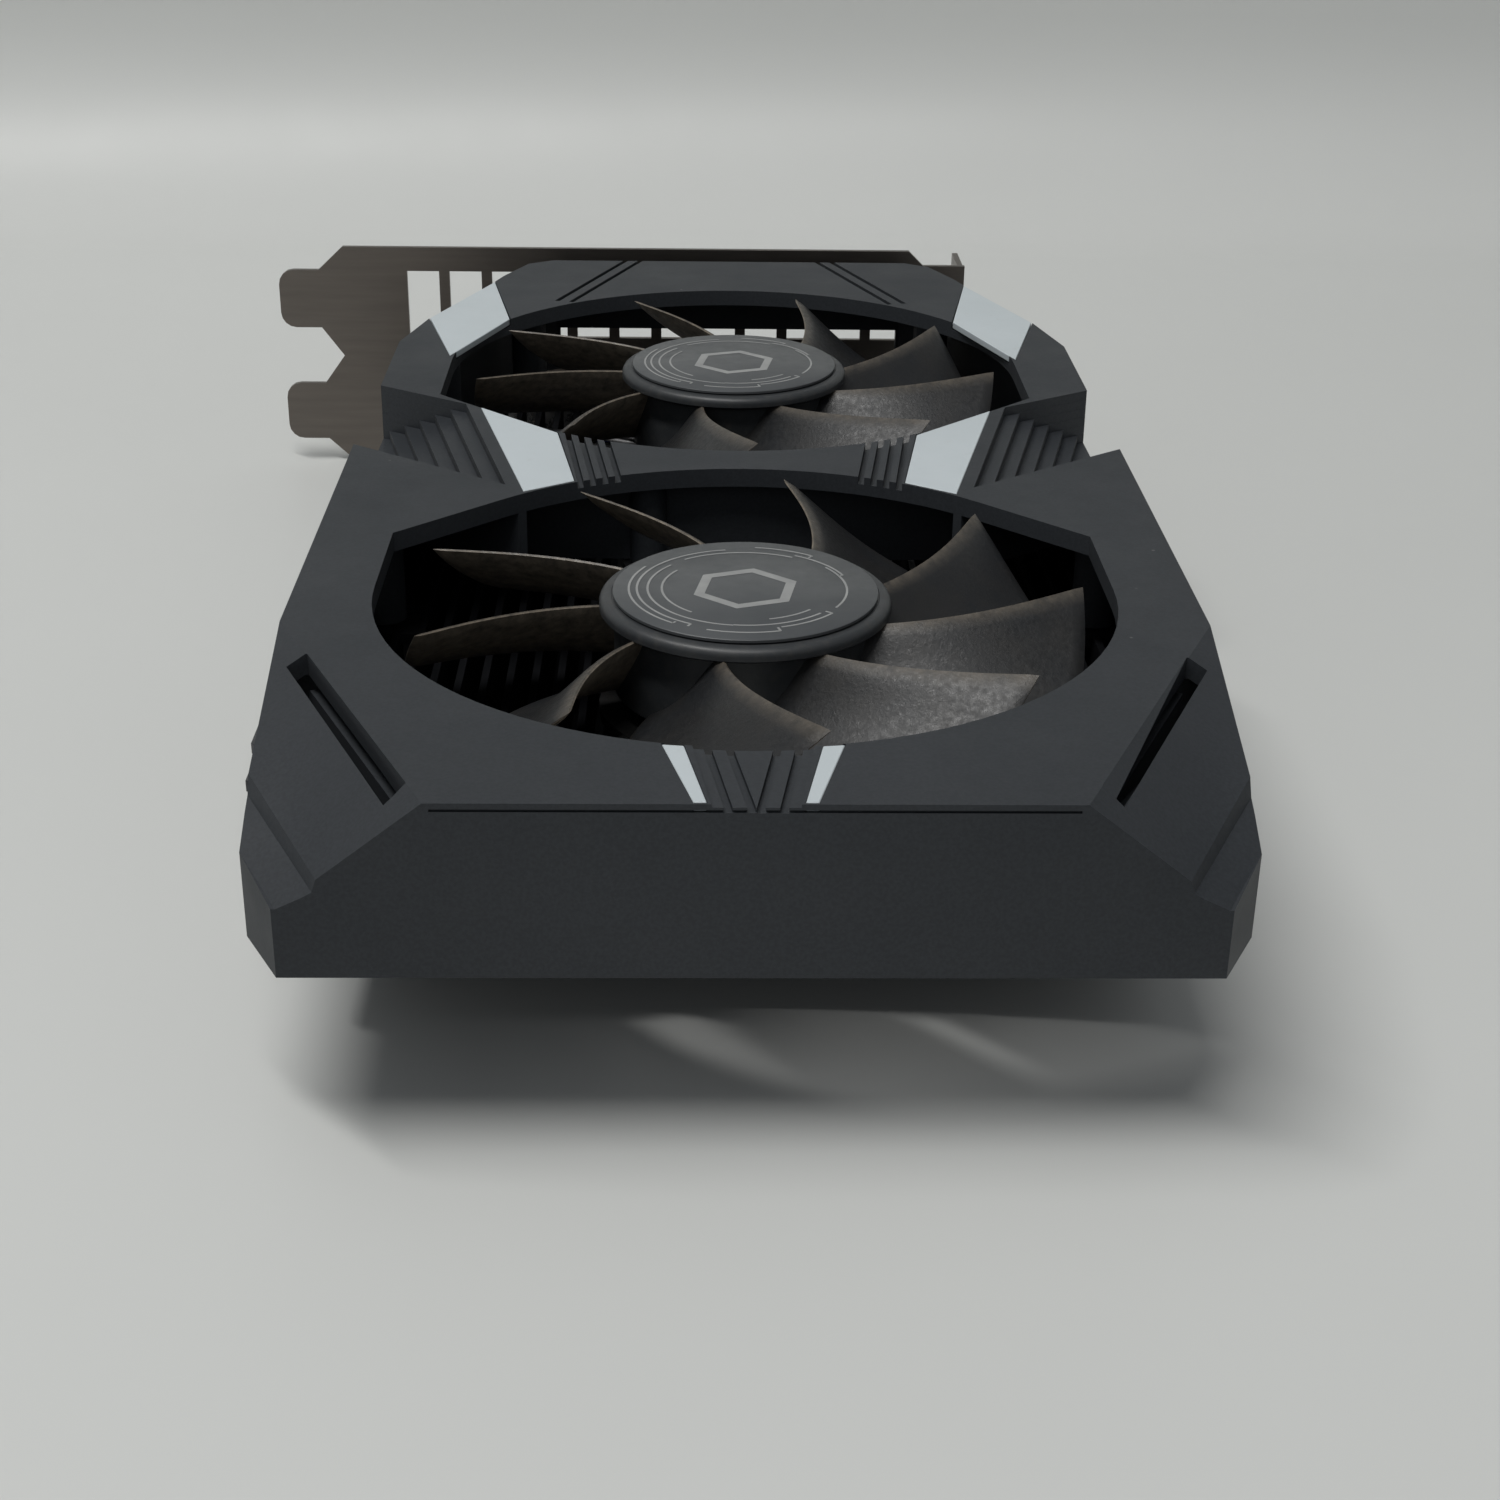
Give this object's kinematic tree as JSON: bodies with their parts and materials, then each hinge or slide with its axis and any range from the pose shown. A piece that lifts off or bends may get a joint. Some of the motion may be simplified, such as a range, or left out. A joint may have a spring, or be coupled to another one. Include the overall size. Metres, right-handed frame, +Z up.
{
  "type": "graphics card",
  "caption": "Two-slot graphics card with twin axial fans in a faceted dark shroud with pale inlays, bare board, finned heatsink and vented steel bracket.",
  "frame": {"origin": "under the middle of the card's box, on the surface it lies on", "axes": "+Y along the card towards the bracket, +X across it away from the edge connector, +Z up out of the fans"},
  "size_m": [0.129, 0.2252, 0.0387],
  "materials": {
    "shroud_plastic": "fine matt moulded texture",
    "accent_white": "smooth satin",
    "fan_plastic": "satin, dusty along the edges",
    "label_print": "printed foil, satin",
    "bracket_steel": "dark nickel plate",
    "board_mask": "dark solder mask",
    "gold": "plated",
    "chip_resin": "matt resin",
    "silicon": "polished",
    "substrate_green": "satin",
    "aluminium": "extruded, satin",
    "nickel": "satin plate",
    "connector_plastic": "matt",
    "ferrite": "matt",
    "steel": "plated",
    "bronze": "sintered",
    "magnet": "matt",
    "copper_coil": "enamelled wire",
    "lead_rubber": "matt sleeve"
  },
  "bodies": {
    "card": {"shroud": "shroud_plastic", "io_bracket": "bracket_steel", "pcb": "board_mask", "edge_contacts": "gold", "gpu_substrate": "substrate_green", "gpu_die": "silicon", "fan_header": "connector_plastic", "heatsink": "aluminium", "dvi_connector": "nickel", "hdmi_connector": "nickel", "displayport_connector": "nickel", "dvi_screw_post_1": "nickel", "dvi_screw_post_2": "nickel", "bracket_screw_1": "steel", "bracket_screw_2": "steel", "mid_inlay_right": "accent_white", "mid_inlay_left": "accent_white", "rear_inlay_right": "accent_white", "rear_inlay_left": "accent_white", "tail_inlay_right": "accent_white", "tail_inlay_left": "accent_white", "memory_chip_1": "chip_resin", "cooler_screw_1": "steel", "shroud_screw_1": "steel", "memory_chip_2": "chip_resin", "cooler_screw_2": "steel", "shroud_screw_2": "steel", "memory_chip_3": "chip_resin", "cooler_screw_3": "steel", "shroud_screw_3": "steel", "memory_chip_4": "chip_resin", "cooler_screw_4": "steel", "shroud_screw_4": "steel", "choke_1": "ferrite", "choke_2": "ferrite", "choke_3": "ferrite", "capacitor_1": "aluminium", "capacitor_2": "aluminium", "tail_fan_base": "fan_plastic", "tail_bearing_sleeve": "bronze", "tail_stator": "copper_coil", "tail_motor_board": "board_mask", "tail_fan_lead": "lead_rubber", "rear_fan_base": "fan_plastic", "rear_bearing_sleeve": "bronze", "rear_stator": "copper_coil", "rear_motor_board": "board_mask", "rear_fan_lead": "lead_rubber"},
    "tail_rotor": {"tail_impeller": "fan_plastic", "tail_hub_label": "label_print", "tail_magnet_ring": "magnet", "tail_shaft": "steel"},
    "rear_rotor": {"rear_impeller": "fan_plastic", "rear_hub_label": "label_print", "rear_magnet_ring": "magnet", "rear_shaft": "steel"}
  },
  "joints": [
    {"name": "tail_fan_spin", "type": "hinge", "parent": "card", "child": "tail_rotor", "pos_m": [0.01395, -0.0591, 0.03], "axis": [0, 0, 1], "continuous": true},
    {"name": "rear_fan_spin", "type": "hinge", "parent": "card", "child": "rear_rotor", "pos_m": [0.01395, 0.03125, 0.03], "axis": [0, 0, 1], "continuous": true}
  ]
}
